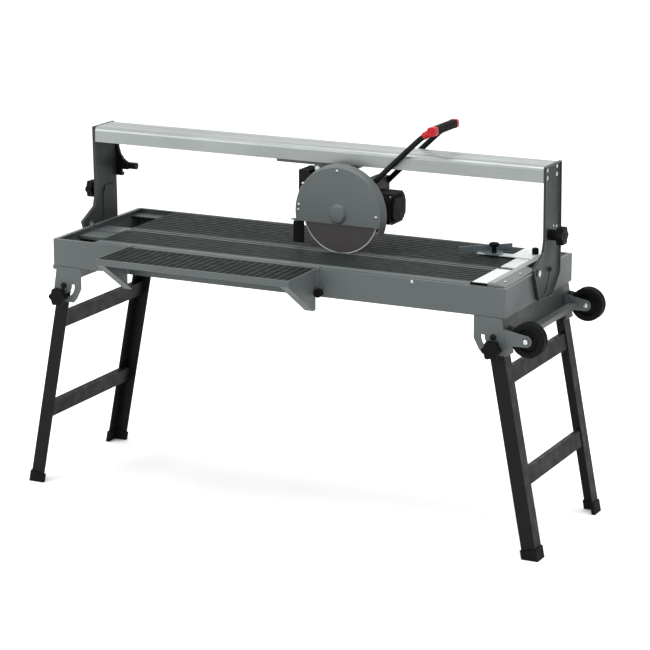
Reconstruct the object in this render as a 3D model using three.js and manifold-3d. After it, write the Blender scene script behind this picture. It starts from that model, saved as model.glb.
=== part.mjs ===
// Tile cutter: an electric bridge saw for tiles, on folding legs.
// Millimetres, +X along the cut to the transport wheels, +Y away from the user, +Z up.
// The pieces are laid out from the middle of the bed at floor level; the last lines move
// the whole saw so that its origin is the bottom centre of its own bounding box.
import * as THREE from 'three';
import { mergeVertices } from 'three/addons/utils/BufferGeometryUtils.js';
import Module from 'manifold-3d';

const wasm = await Module();
wasm.setup();

// ---- overall sizes -------------------------------------------------------------------
const BED_LENGTH = 1500;
const BED_WIDTH = 520;
const TABLE_HEIGHT = 795;
const BED_DEPTH = 85;
const SHEET = 3;            // pressed steel sheet
const GAP = 0.4;            // clearance between touching pieces
const RUN = 1;              // clearance of running pieces

// ---- table and slot ------------------------------------------------------------------
const PLATE_THICK = 16;     // ribbed table plates
const RIB_PITCH = 21.7;
const GROOVE = 9;           // width of a groove between two ribs
const GROOVE_FRONT = 17;    // first groove, from the slot
const GROOVE_REAR = 39;
const EDGE_FLAT = 36;       // flat margins of the plates
const SLOT_FLAT = 12;
const RIB_HEIGHT = 1.6;
const SLOT_Y = -38;         // blade plane
const SLOT_HALF = 6;
const OPEN_LEFT = 138;      // open end of the tray, left of the plates
const RIM_FLANGE = 9;
const END_FLANGE = 13;
const LEDGE = 52;
const BEAM_WIDTH = 76;
const BEAM_DEPTH = 10;
const TRAY_DEPTH = 54;
const DRAIN_IN = 62;        // drain's middle, in from the front face

// ---- bridge --------------------------------------------------------------------------
const POST_WEB_GAP = 3.6;   // stay plate and clearance between bed end and post web
const POST_FLANGE = 6.4;    // how far the post's edge folds out past the web
const POST_TOP = TABLE_HEIGHT + 306;
const POST_FRONT = 2;
const POST_REAR = 124;
const RAIL_HEIGHT = 48;
const RAIL_DEPTH = 116;
const RAIL_WALL = 5;
const RAIL_SLOT = 34;
const TILT_SLOT_R = 95;     // arc slot about the tilt pivot
const TILT_RANGE = 45;
const TILT_KNOB_Y = 50;
const TILT_KNOB_Z = TABLE_HEIGHT + 98;
const STUD_R = 4;
const PIVOT_R = 6;

// ---- cutting head --------------------------------------------------------------------
const HEAD_X = 123;         // blade axis as the head stands
const AXIS_Z = TABLE_HEIGHT + 120.5;
const BLADE_R = 125;
const BLADE_THICK = 2.4;
const BORE_R = 12.7;
const FLANGE_R = 28;
const GUARD_R = 141;
const GUARD_REAR_R = 148.5;
const GUARD_FRONT_Y = -60;
const GUARD_REAR_Y = -26;
const GUARD_WALL = 2.5;
const BOSS_DEEP = 10;       // raised middle of the guard's cover
const PLATE = 4.8;           // the head's mounting plate
const PLATE_Y = -19.6;       // and its rear face
const PLUNGE_X = 25;        // plunge pin
const PLUNGE_Z = TABLE_HEIGHT + 239;
const LUG_R = 11;
const ARM_DROP = 13;        // from the plunge pin down to the top of the arm
const ARM_STEP = 8;         // right edge of the arm's raised part
const PIN_R = 5;
const FLAP_X0 = -27;
const FLAP_X1 = -3;
const FLAP_TOP = AXIS_Z - 36.1;
const MOTOR_R = 56;
const MOTOR_WALL = 6;
const MOTOR_REAR = 100;
const BOX_X0 = 206;         // switch box
const BOX_X1 = 270;
const BOX_Z0 = AXIS_Z - 31.5;
const BOX_Z1 = AXIS_Z + 61.5;
const BOX_REAR = 96;
const BOX_CORNER = 20;
const BAR_R = 8.5;          // handle bars
const BEAM_X0 = 162;        // the beam that they are fixed to
const BEAM_X1 = 202;
const BEAM_Z0 = AXIS_Z + 48.5;
const BEAM_Z1 = AXIS_Z + 90.5;
const GRIP_R = 12.6;         // half the grip's width
const CAP_PROUD = 0.8;
const CARRIAGE_X0 = -115;
const CARRIAGE_X1 = 160;
const ROLLER_R = 15;
const ROLLER_X = [-75, 120];
const ROLLER_WIDTH = 20;

// ---- legs ----------------------------------------------------------------------------
const LEG_PIVOT_X = 714;
const LEG_PIVOT_Z = TABLE_HEIGHT - BED_DEPTH - 58;
const LEG_SPREAD = 124;     // how far each foot stands out past its pivot
const LEG_SPLAY = Math.atan2(LEG_SPREAD, LEG_PIVOT_Z);
const LEG_WIDTH = 44;
const LEG_DEPTH = 46;
const LEG_SHEET = 4;
const LEG_LOCK_R = 32;
const LEG_FOLD = 100;
const BRACKET_DEPTH = 52;
const BRACKET_BOTTOM = LEG_PIVOT_Z - 52;
const BRACKET_INSIDE = 61;  // from the leg's pivot to the bracket's inner edge
const BRACKET_CROSS = LEG_PIVOT_Z - 12;   // bottom of the plate between the brackets
const CROSS_TOP = 99;       // along the leg from its pivot
const CROSS_LOW = 402;
const CROSS_HEIGHT = 48;
const CROSS_WIDTH = 20;
const KNOB_R = 29;

// ---- wheels, side table, fence, guide --------------------------------------------------
const WHEEL_X = 814;
const WHEEL_Z = LEG_PIVOT_Z - 2;
const WHEEL_R = 51;
const WHEEL_WIDTH = 36;
const AXLE_R = 6;
const SIDE_X0 = -488;
const SIDE_X1 = 152.5;
const SIDE_FRONT = -441;
const GUSSET_DROP = 125;
const GUSSET_FLANGE = 27;
const FENCE_X = 633;
const FENCE_PLATE = 52;
const GUIDE_X = 555.6;
const GUIDE_Y = 118.7;
const GUIDE_ANGLE = 44;
const GUIDE_TALL = 20;

// ---- places that follow from the sizes ------------------------------------------------
const END = BED_LENGTH / 2;
const SIDE = BED_WIDTH / 2;
const BED_BOTTOM = TABLE_HEIGHT - BED_DEPTH;
const PLATE_UNDER = TABLE_HEIGHT - PLATE_THICK;
const WEB = END + POST_WEB_GAP;
const RAIL_BOTTOM = POST_TOP - RAIL_HEIGHT;
const RAIL_REAR = POST_FRONT + 1 + RAIL_DEPTH;
const RAIL_MID = POST_FRONT + 1 + RAIL_DEPTH / 2;
const ROLLER_OUT = RAIL_DEPTH / 2 - RAIL_WALL - 4;   // rollers' outer faces, 4 off the rail's walls
const BLOCK_HALF = ROLLER_OUT - ROLLER_WIDTH - 5;    // the carriage's block, 5 off the rollers
const FACE = -SIDE;                          // bed's front face
const WORLD = new THREE.Vector3(0, 0, 0);

// ---- materials -------------------------------------------------------------------------
function paint(name, color, roughness, metalness) {
  const m = new THREE.MeshStandardMaterial({ color, roughness, metalness });
  m.name = name;
  return m;
}
const GREY = paint('grey_paint', 0x6a706f, 0.5, 0.2);
const BLACK = paint('black_paint', 0x262626, 0.55, 0.2);
const RIBBED = paint('ribbed_plate', 0x3a4240, 0.6, 0.3);
const ALU = paint('aluminium', 0xb4bab8, 0.35, 0.9);
const STEEL = paint('bright_steel', 0xc8cacb, 0.3, 1.0);
const DISC = paint('blade_steel', 0x4a4646, 0.4, 0.9);
const RUBBER = paint('rubber', 0x18191a, 0.8, 0.0);
const PLASTIC = paint('black_plastic', 0x1f2020, 0.5, 0.0);
const RED = paint('red_plastic', 0xd02028, 0.4, 0.0);
const GUIDE_STEEL = paint('guide_steel', 0x6c787c, 0.35, 0.8);
const COPPER = paint('stator', 0x7a5a3c, 0.5, 0.6);

// ---- solids ----------------------------------------------------------------------------
function toSolid(geometry) {
  const g0 = geometry.clone();
  for (const key of Object.keys(g0.attributes)) if (key !== 'position') g0.deleteAttribute(key);
  const g = mergeVertices(g0, 1e-4);
  const p = g.attributes.position;
  const idx = g.index.array;
  const tris = [];
  let volume = 0;
  const a = new THREE.Vector3(), b = new THREE.Vector3(), c = new THREE.Vector3();
  for (let i = 0; i < idx.length; i += 3) {
    const [i0, i1, i2] = [idx[i], idx[i + 1], idx[i + 2]];
    if (i0 === i1 || i1 === i2 || i0 === i2) continue;
    tris.push(i0, i1, i2);
    a.fromBufferAttribute(p, i0);
    b.fromBufferAttribute(p, i1);
    c.fromBufferAttribute(p, i2);
    volume += a.dot(b.cross(c));
  }
  if (volume < 0) {
    for (let i = 0; i < tris.length; i += 3) [tris[i], tris[i + 1]] = [tris[i + 1], tris[i]];
  }
  return new wasm.Manifold(new wasm.Mesh({
    numProp: 3,
    vertProperties: new Float32Array(p.array),
    triVerts: new Uint32Array(tris),
  }));
}

function toGeometry(solid) {
  const mesh = solid.getMesh();
  const g = new THREE.BufferGeometry();
  g.setAttribute('position', new THREE.BufferAttribute(new Float32Array(mesh.vertProperties), 3));
  g.setIndex(new THREE.BufferAttribute(new Uint32Array(mesh.triVerts), 1));
  return g;
}

const join = (...s) => s.reduce((a, b) => a.add(b));
const cut = (a, ...s) => s.reduce((x, b) => x.subtract(b), a);

function box(x0, x1, y0, y1, z0, z1) {
  const g = new THREE.BoxGeometry(x1 - x0, y1 - y0, z1 - z0);
  g.translate((x0 + x1) / 2, (y0 + y1) / 2, (z0 + z1) / 2);
  return toSolid(g);
}

const TURN = {
  x: new THREE.Matrix4().makeBasis(
    new THREE.Vector3(0, 1, 0), new THREE.Vector3(0, 0, 1), new THREE.Vector3(1, 0, 0)),
  y: new THREE.Matrix4().makeBasis(
    new THREE.Vector3(1, 0, 0), new THREE.Vector3(0, 0, 1), new THREE.Vector3(0, -1, 0)),
  z: new THREE.Matrix4(),
};

// outline points are (y, z) for axis x, (x, z) for axis y and (x, y) for axis z
function prism(axis, points, from, to) {
  const shape = new THREE.Shape(points.map(([u, v]) => new THREE.Vector2(u, v)));
  const g = new THREE.ExtrudeGeometry(shape, { depth: to - from, bevelEnabled: false, steps: 1 });
  g.applyMatrix4(TURN[axis]);
  const shift = { x: [from, 0, 0], y: [0, to, 0], z: [0, 0, from] }[axis];
  g.translate(...shift);
  return toSolid(g);
}

function circle(u, v, r, n = 24, squash = 1) {
  return Array.from({ length: n }, (_, i) => {
    const t = (i + 0.5) * 2 * Math.PI / n;
    return [u + r * Math.cos(t), v + squash * r * Math.sin(t)];
  });
}
const rod = (axis, u, v, r, from, to, n = 24) => prism(axis, circle(u, v, r, n), from, to);

// profile points are (radius, place along the axis)
function turned(axis, profile, u, v, n = 32) {
  const pts = profile.map(([r, t]) => new THREE.Vector2(r, t));
  const g = new THREE.LatheGeometry([...pts, pts[0].clone()], n);
  if (axis === 'y') g.translate(u, 0, v);
  if (axis === 'x') {
    g.rotateZ(-Math.PI / 2);
    g.translate(0, u, v);
  }
  if (axis === 'z') {
    g.rotateX(Math.PI / 2);
    g.translate(u, v, 0);
  }
  return toSolid(g);
}

// a band of the given half width along an arc, angles in degrees
function arcBand(u, v, radius, half, from, to, n = 14) {
  const pts = [];
  const at = (r, deg) => {
    const t = THREE.MathUtils.degToRad(deg);
    return [u + r * Math.cos(t), v + r * Math.sin(t)];
  };
  for (let i = 0; i <= n; i++) pts.push(at(radius + half, from + (to - from) * i / n));
  for (let i = n; i >= 0; i--) pts.push(at(radius - half, from + (to - from) * i / n));
  return pts;
}

// an outline moved inwards by t, for a closed anticlockwise outline
function inset(points, t) {
  const n = points.length;
  return points.map((p, i) => {
    const a = points[(i + n - 1) % n], b = points[(i + 1) % n];
    const d1 = [p[0] - a[0], p[1] - a[1]], d2 = [b[0] - p[0], b[1] - p[1]];
    const l1 = Math.hypot(...d1), l2 = Math.hypot(...d2);
    const n1 = [-d1[1] / l1, d1[0] / l1], n2 = [-d2[1] / l2, d2[0] / l2];
    const k = t / (1 + n1[0] * n2[0] + n1[1] * n2[1]);
    return [p[0] + k * (n1[0] + n2[0]), p[1] + k * (n1[1] + n2[1])];
  });
}

function tube(points, r, sides, steps) {
  const path = new THREE.CatmullRomCurve3(
    points.map((p) => new THREE.Vector3(...p)), false, 'centripetal');
  const ring = new THREE.Shape(
    Array.from({ length: sides }, (_, i) => new THREE.Vector2(
      r * Math.cos(i * 2 * Math.PI / sides), r * Math.sin(i * 2 * Math.PI / sides))));
  return toSolid(new THREE.ExtrudeGeometry(ring, { steps, extrudePath: path }));
}

const mirrorX = (s) => s.mirror([1, 0, 0]);
const mirrorY = (s) => s.mirror([0, 1, 0]);
const spot = (s, k) => (k < 0 ? mirrorX(s) : s);

// ---- scene helpers ----------------------------------------------------------------------
const saw = new THREE.Group();
saw.name = 'tile_cutter';

function body(name, pivot, parent = saw) {
  const g = new THREE.Group();
  g.name = name;
  const base = parent.userData.at ?? WORLD;
  g.userData.at = new THREE.Vector3(...pivot);
  g.position.copy(g.userData.at).sub(base);
  parent.add(g);
  return g;
}

function put(parent, name, solid, material) {
  const base = parent.userData.at ?? WORLD;
  const g = toGeometry(solid);
  g.translate(-base.x, -base.y, -base.z);
  const m = new THREE.Mesh(g, material);
  m.name = name;
  parent.add(m);
  return m;
}

// ---- bed --------------------------------------------------------------------------------
function bedFrame() {
  const walls = cut(box(-END, END, FACE, SIDE, BED_BOTTOM, TABLE_HEIGHT),
    box(-END + SHEET, END - SHEET, FACE + SHEET, SIDE - SHEET, BED_BOTTOM - 1, TABLE_HEIGHT + 1));
  const ring = (z0, ix, iy) => cut(
    box(-END + 1, END - 1, FACE + 1, SIDE - 1, z0, z0 + SHEET),
    box(-END + ix, END - ix, FACE + iy, SIDE - iy, z0 - 1, z0 + SHEET + 1));
  let s = join(walls, ring(BED_BOTTOM, 15, 15),
    ring(TABLE_HEIGHT - SHEET, END_FLANGE, RIM_FLANGE),
    box(-END + 1, END - 1, FACE + 1, FACE + SHEET + LEDGE, PLATE_UNDER - SHEET, PLATE_UNDER),
    box(-END + 1, END - 1, SIDE - SHEET - LEDGE, SIDE - 1, PLATE_UNDER - SHEET, PLATE_UNDER));
  for (const k of [-1, 1]) {
    const ear = rod('x', SLOT_Y, TABLE_HEIGHT, PIVOT_R + 7, END - SHEET, END, 20);
    const room = rod('x', SLOT_Y, TABLE_HEIGHT, PIVOT_R + 3, END - END_FLANGE - 1, END - SHEET, 16);
    const hole = rod('x', SLOT_Y, TABLE_HEIGHT, PIVOT_R + 0.3, END - SHEET - 1, END + 1);
    s = cut(join(cut(s, spot(room, k)), spot(ear, k)), spot(hole, k));
  }
  return s;
}

function waterTray() {
  const x = END - SHEET - RUN, y = SIDE - SHEET - RUN;
  const z0 = BED_BOTTOM + SHEET + GAP, z1 = z0 + TRAY_DEPTH;
  // its rim gives way to the slot beams where they come down that far
  const beams = box(-x - 1, x + 1, SLOT_Y - SLOT_HALF - BEAM_WIDTH - GAP, SLOT_Y + SLOT_HALF + BEAM_WIDTH
    + GAP, PLATE_UNDER - GAP - BEAM_DEPTH - GAP, TABLE_HEIGHT);
  const pan = cut(box(-x, x, -y, y, z0, z1),
    box(-x + SHEET, x - SHEET, -y + SHEET, y - SHEET, z0 + SHEET, z1 + 1), beams);
  const cx = -END + 26, cy = FACE + DRAIN_IN;
  // the drain elbow, closed by its plug
  return join(pan, rod('z', cx, cy, 9, z0 - 24, z0 + 1, 16),
    rod('x', cy, z0 - 22, 9, -END - 38, cx + 4, 16));
}

function slotBeam(y0, y1) {
  const z1 = PLATE_UNDER - GAP, x = END - SHEET - GAP;
  const z0 = z1 - BEAM_DEPTH;
  return cut(box(-x, x, y0, y1, z0, z1),
    box(-x - 1, x + 1, y0 + SHEET, y1 - SHEET, z0 - 1, z1 - SHEET));
}

// grooves run along the plate between two flat margins; first is the groove by the slot
function ribbedPlate(y0, y1, first, step) {
  const x0 = -END + OPEN_LEFT, x1 = END - END_FLANGE - GAP, t = TABLE_HEIGHT, h = GROOVE / 2;
  const base = t - RIB_HEIGHT, grooves = [];
  for (let y = first; y > y0 + EDGE_FLAT && y < y1 - SLOT_FLAT; y += step) grooves.push(y);
  grooves.sort((a, b) => a - b);
  const top = [[y0, t]];
  for (const y of grooves) top.push([y - h, t], [y - h + 1.5, base], [y + h - 1.5, base], [y + h, t]);
  top.push([y1, t], [y1, PLATE_UNDER], [y0, PLATE_UNDER]);
  // plain and a little lower under the ruler
  return join(prism('x', top.reverse(), x0, FENCE_X - GAP),
    box(FENCE_X - GAP - 1, x1, y0, y1, PLATE_UNDER, base), box(FENCE_X - GAP, x1, y0, y1, base - 1,
      t - GAP / 2));
}

function buildBed() {
  const t = TABLE_HEIGHT;
  put(saw, 'bed_frame', bedFrame(), GREY);
  put(saw, 'water_tray', waterTray(), GREY);
  const slotRear = SLOT_Y + SLOT_HALF, slotFront = SLOT_Y - SLOT_HALF;
  put(saw, 'slot_beam_front', slotBeam(slotFront - BEAM_WIDTH, slotFront), GREY);
  put(saw, 'slot_beam_rear', slotBeam(slotRear, slotRear + BEAM_WIDTH), GREY);
  const edge = SIDE - RIM_FLANGE - 6;
  put(saw, 'table_front', ribbedPlate(-edge, slotFront, slotFront - GROOVE_FRONT, -RIB_PITCH), RIBBED);
  put(saw, 'table_rear', ribbedPlate(slotRear, edge, slotRear + GROOVE_REAR, RIB_PITCH), RIBBED);
  const px = -END + 62, py = FACE + 82, pz = BED_BOTTOM + 2 * SHEET + 2 * GAP;
  const pump = join(box(px - 26, px + 26, py - 22, py + 22, pz, pz + 34),
    rod('z', px, py, 17, pz + 33, pz + 42, 16), rod('z', px + 10, py, 5, pz + 41, pz + 52, 10));
  put(saw, 'water_pump', pump, PLASTIC);
  // ruler along the right end, its two faces parted by the slot
  const y0 = FACE + 22, y1 = SIDE - 20, z = t + GAP, x1 = FENCE_X + FENCE_PLATE;
  const ruler = join(
    box(FENCE_X, x1 + 1, y0, SLOT_Y - 9, z, z + 3.6),
    box(FENCE_X, x1 + 1, SLOT_Y + 22, y1, z, z + 3.6),
    prism('y', [[x1, z], [x1 + 24, z], [x1 + 24, z + 10.6], [x1 + 4, z + 10.6], [x1, z + 7]], y0 - 4, y1),
    prism('y', [[x1 + 23, z], [x1 + 52, z], [x1 + 52, z + 2], [x1 + 23, z + 10.6]], y0 - 4, SLOT_Y + 31));
  put(saw, 'fence_ruler', ruler, ALU);
  put(saw, 'fence_cap', box(FENCE_X, x1 - GAP, y0 - 8, y0 - GAP, z, z + 6), PLASTIC);
}

// ---- leg brackets and wheel frame ---------------------------------------------------------
const bracketEdge = (z) => LEG_PIVOT_X + 25.5 + (BED_BOTTOM - GAP - z) * 0.16;

// one side's pair of brackets, with the slanted plate that ties them under the bed
function legBrackets() {
  const y0 = FACE - 2, zt = BED_BOTTOM - GAP, zb = BRACKET_BOTTOM, outer = bracketEdge;
  const inner = LEG_PIVOT_X - BRACKET_INSIDE, zc = BRACKET_CROSS;
  const face = prism('y', [[inner, zt], [inner, LEG_PIVOT_Z - 7], [inner + 16, zb + 14],
    [inner + 28, zb], [outer(zb), zb], [outer(zt), zt]], y0, y0 + SHEET);
  const wall = prism('y', [[outer(zb) - SHEET, zb], [outer(zb), zb], [outer(zt), zt],
    [outer(zt) - SHEET, zt]], y0, y0 + BRACKET_DEPTH);
  const top = box(inner, outer(zt) - 1, y0, y0 + BRACKET_DEPTH, zt - SHEET, zt);
  const rest = THREE.MathUtils.radToDeg(-Math.PI / 2 + LEG_SPLAY);
  const slot = prism('y', arcBand(LEG_PIVOT_X, LEG_PIVOT_Z, LEG_LOCK_R, STUD_R + 1.2,
    rest + 9.5, rest - LEG_FOLD - 9.5), y0 - 1, y0 + SHEET + 1);
  const half = cut(join(face, wall, top), slot,
    rod('y', LEG_PIVOT_X, LEG_PIVOT_Z, PIN_R + 0.5, y0 - 1, y0 + SHEET + 1, 16));
  const y1 = y0 + BRACKET_DEPTH - 1;
  return join(half, mirrorY(half), prism('y', [[outer(zc) - SHEET, zc], [outer(zc), zc],
    [outer(zt), zt], [outer(zt) - SHEET, zt]], y1, -y1));
}

function wheelFrame() {
  const arm = (y0) => {
    const za = WHEEL_Z - 18, zb = WHEEL_Z + 29;
    const tip = Array.from({ length: 9 }, (_, i) => {
      const a = -Math.PI / 2 + i * Math.PI / 8;
      return [WHEEL_X + 17 * Math.cos(a), WHEEL_Z + 17 * Math.sin(a)];
    });
    return prism('y', [[bracketEdge(za) + GAP, za], ...tip, [bracketEdge(zb) + GAP, zb]], y0, y0 + SHEET);
  };
  const out = FACE - 2;                       // outer arm, flush with the bracket
  const inn = out + SHEET + WHEEL_WIDTH + 9;
  const half = join(arm(out), arm(inn), rod('y', WHEEL_X, WHEEL_Z, AXLE_R, out - 4, inn + 1, 16),
    rod('y', WHEEL_X, WHEEL_Z, 9, out - 5, out + 1, 12));
  const x = LEG_PIVOT_X + 48;
  return join(half, mirrorY(half), box(x, x + 25, inn + 1, -inn - 1, WHEEL_Z - 11, WHEEL_Z + 4));
}

function buildBrackets() {
  const pair = legBrackets();
  put(saw, 'leg_brackets_right', pair, GREY);
  const drainRoom = box(-LEG_PIVOT_X - 60, -LEG_PIVOT_X, FACE + DRAIN_IN - 12, FACE + DRAIN_IN + 12,
    BRACKET_CROSS - 1, BED_BOTTOM - 6);
  put(saw, 'leg_brackets_left', cut(mirrorX(pair), drainRoom), GREY);
  put(saw, 'wheel_frame', wheelFrame(), GREY);
}

// ---- bridge: posts, rail, stays -------------------------------------------------------------
const POST_OUTLINE = [
  [POST_FRONT, POST_TOP], [POST_FRONT + 5, TABLE_HEIGHT + 91], [POST_FRONT - 7, TABLE_HEIGHT + 53],
  [SLOT_Y - 40, TABLE_HEIGHT + 17], [SLOT_Y - 35, TABLE_HEIGHT + 5],
  [SLOT_Y + 5, BED_BOTTOM + 3], [SLOT_Y + 107, BED_BOTTOM - 4], [SLOT_Y + 124, BED_BOTTOM + 14],
  [POST_REAR + 8, TABLE_HEIGHT - 29], [POST_REAR + 8, TABLE_HEIGHT + 64], [POST_REAR, POST_TOP]];

function post() {
  const w = WEB, out = WEB + SHEET + POST_FLANGE;
  const pan = cut(prism('x', POST_OUTLINE, w, out),
    prism('x', inset(POST_OUTLINE, SHEET), w + SHEET, out + 1));
  return cut(pan,
    rod('x', SLOT_Y, TABLE_HEIGHT, PIVOT_R + 0.3, w - 1, w + SHEET + 1),
    prism('x', arcBand(SLOT_Y, TABLE_HEIGHT, TILT_SLOT_R, STUD_R + 0.8, 0, -TILT_RANGE - 8),
      w - 1, w + SHEET + 1),
    rod('x', TILT_KNOB_Y, TILT_KNOB_Z, STUD_R + 0.4, w - 1, w + SHEET + 1, 16));
}

function tiltStay() {
  const x0 = END + 0.3, x1 = WEB - 0.3, ky = TILT_KNOB_Y, kz = TILT_KNOB_Z;
  const seat = STUD_R + GAP;
  const plate = prism('x', [[ky - 6, BED_BOTTOM + 6], [ky + 60, BED_BOTTOM + 6], [ky + 60, kz + 12],
    [ky + seat, kz + 12], [ky + seat, kz - seat], [ky - 6, kz - seat]], x0, x1);
  const a = THREE.MathUtils.degToRad(-4);
  const sy = SLOT_Y + TILT_SLOT_R * Math.cos(a), sz = TABLE_HEIGHT + TILT_SLOT_R * Math.sin(a);
  return join(plate, rod('x', sy, sz, STUD_R, x0 + 1, WEB + SHEET + 10, 14),
    rod('x', sy, sz, 8, WEB + SHEET + GAP, WEB + SHEET + 6, 6));
}

function rail() {
  const y0 = POST_FRONT + 1, y1 = RAIL_REAR, z0 = RAIL_BOTTOM, z1 = POST_TOP;
  const outline = [[y0, z0], [y1, z0], [y1, z1 - 6], [y1 - 5, z1 - 1], [y1 - 12, z1],
    [y0 + 76, z1], [y0 + 75, z1 - 2.5], [y0 + 69, z1 - 2.5], [y0 + 68, z1],
    [y0 + 50, z1], [y0 + 49, z1 - 2], [y0 + 45, z1 - 2], [y0 + 44, z1],
    [y0 + 13, z1], [y0 + 6, z1 - 2], [y0 + 2, z1 - 6], [y0, z1 - 12]];
  const x = WEB - 0.3;
  return cut(prism('x', outline, -x, x),
    box(-x - 1, x + 1, y0 + RAIL_WALL, y1 - RAIL_WALL, z0 + RAIL_WALL, z1 - RAIL_WALL),
    box(-x - 1, x + 1, RAIL_MID - RAIL_SLOT / 2, RAIL_MID + RAIL_SLOT / 2, z0 - 1, z0 + RAIL_WALL + 1));
}

function cableHook() {
  const y0 = POST_REAR + 8 + GAP, y1 = y0 + 5;
  const xw = -END + 2, z = TABLE_HEIGHT + 160;
  const web = [[xw - 8, z + 84], [xw + 2, z + 84], [xw + 3, z + 62], [xw + 10, z + 40],
    [xw + 22, z + 24], [xw + 38, z + 14], [xw + 38, z - 8], [xw + 14, z - 8],
    [xw + 14, z - 30], [xw - 8, z - 30]];
  const arm = rod('x', y0 + 11, z + 2, 11, xw - 8, xw + 62, 18);
  const hook = join(prism('y', [...web].reverse(), y0 - 7, y1), arm,
    box(xw - 8, xw + 14, y0 - 7, y0 + 14, z - 30, z - 20));
  // the post's rear edge leans, and the hook's back follows it
  return cut(hook, prism('x', [[POST_FRONT, TABLE_HEIGHT + 64], [POST_REAR + 8 + GAP, TABLE_HEIGHT + 64],
    [POST_REAR + GAP, POST_TOP], [POST_FRONT, POST_TOP]], -WEB - 40, xw + 16));
}

// a six-lobed hand knob with its stem and screw, along +X from the plane x = face
function starKnob(axisU, axisV, face, stem, tip, stemR, r = KNOB_R) {
  const lobes = Array.from({ length: 36 }, (_, i) => {
    const t = i * Math.PI / 18;
    const q = r * (0.9 + 0.1 * Math.cos(6 * t));
    return [axisU + q * Math.cos(t), axisV + q * Math.sin(t)];
  });
  return join(prism('x', lobes, face + stem, face + stem + 21),
    rod('x', axisU, axisV, stemR, face, face + stem + 1, 16),
    rod('x', axisU, axisV, STUD_R, face - tip, face + 1, 10));
}

function buildBridge() {
  const bridge = body('bridge', [0, SLOT_Y, TABLE_HEIGHT]);
  for (const [side, k] of [['right', 1], ['left', -1]]) {
    put(saw, `tilt_stay_${side}`, spot(tiltStay(), k), STEEL);
    put(bridge, `post_${side}`, spot(post(), k), GREY);
    const bolt = join(rod('x', SLOT_Y, TABLE_HEIGHT, PIVOT_R, END - SHEET - 3, WEB + SHEET + 3),
      rod('x', SLOT_Y, TABLE_HEIGHT, 10, WEB + SHEET + GAP, WEB + SHEET + 8, 12));
    put(bridge, `tilt_pivot_${side}`, spot(bolt, k), STEEL);
    const kx = WEB + SHEET + GAP;
    const knob = body(`tilt_knob_${side}_turn`, [k * kx, TILT_KNOB_Y, TILT_KNOB_Z], bridge);
    put(knob, `tilt_knob_${side}`, spot(starKnob(TILT_KNOB_Y, TILT_KNOB_Z, kx, 28, 6.6, 16), k), PLASTIC);
  }
  put(bridge, 'rail', rail(), ALU);
  put(bridge, 'cable_hook', cableHook(), BLACK);
  return bridge;
}

// ---- carriage and plunging head ---------------------------------------------------------------
const LUG_Y = [[8, 15], [58, 65]];
const HEAD_LUG_Y = [[15 + RUN * 0.6, 23], [50, 58 - RUN * 0.6]];

function carriageFrame() {
  const floor = RAIL_BOTTOM + RAIL_WALL, cz = floor + ROLLER_R + 0.3;
  const under = RAIL_BOTTOM - RUN, x0 = ROLLER_X[0] - 20, x1 = ROLLER_X[1] + 20;
  const half = RAIL_SLOT / 2 - 4;
  let s = join(
    box(x0, x1, RAIL_MID - BLOCK_HALF, RAIL_MID + BLOCK_HALF, cz - 9, cz + 9),
    box(x0, x1, RAIL_MID - half, RAIL_MID + half, under - 1, cz - 8),
    box(CARRIAGE_X0, CARRIAGE_X1, POST_FRONT + 6, RAIL_REAR - 3, under - 7.5, under));
  for (const [y0, y1] of LUG_Y) {
    s = join(s, box(PLUNGE_X - LUG_R, PLUNGE_X + LUG_R, y0, y1, PLUNGE_Z, under - 1),
      rod('y', PLUNGE_X, PLUNGE_Z, LUG_R, y0, y1, 20));
  }
  s = cut(s, rod('y', PLUNGE_X, PLUNGE_Z, PIN_R + 0.4, 0, 80, 18));
  for (const x of ROLLER_X) s = cut(s, rod('y', x, cz, PIN_R + 0.5, 0, 120, 18));
  return s;
}

function wheelset(x, cz) {
  const a = RAIL_MID - ROLLER_OUT, b = RAIL_MID + ROLLER_OUT, w = ROLLER_WIDTH;
  return join(rod('y', x, cz, PIN_R, a + 2, b - 2, 16),
    rod('y', x, cz, ROLLER_R, a, a + w, 28), rod('y', x, cz, ROLLER_R, b - w, b, 28));
}

function headFrame() {
  const zt = PLUNGE_Z - ARM_DROP, y0 = PLATE_Y - GAP, z1 = PLUNGE_Z - 3, x1 = ARM_STEP;
  const zb = AXIS_Z + 34.5;
  const arm = cut(join(box(-26, 66, y0, 60, zb, zt), box(-26, x1, y0, 60, zb, z1)),
    box(-22, 62, y0 + 4, 56, zb - 10, zt - 4), box(-22, x1 - 4, y0 + 4, 56, zb - 10, z1 - 4));
  const lugs = HEAD_LUG_Y.map(([a, b]) => join(
    box(PLUNGE_X - 8, PLUNGE_X + 8, a, b, zt - 1, PLUNGE_Z),
    rod('y', PLUNGE_X, PLUNGE_Z, 8, a, b, 18)));
  const plate = join(rod('y', HEAD_X, AXIS_Z, BLADE_R - 7, PLATE_Y - PLATE, PLATE_Y, 40),
    box(HEAD_X + 60, BOX_X1 - 6, PLATE_Y - PLATE, PLATE_Y, BOX_Z0 + 6, BOX_Z1 - 4));
  return cut(join(arm, ...lugs, plate),
    rod('y', HEAD_X, AXIS_Z, 16, PLATE_Y - 10, PLATE_Y + 1, 24),
    rod('y', PLUNGE_X, PLUNGE_Z, PIN_R + 0.4, 0, 80, 18));
}

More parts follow.
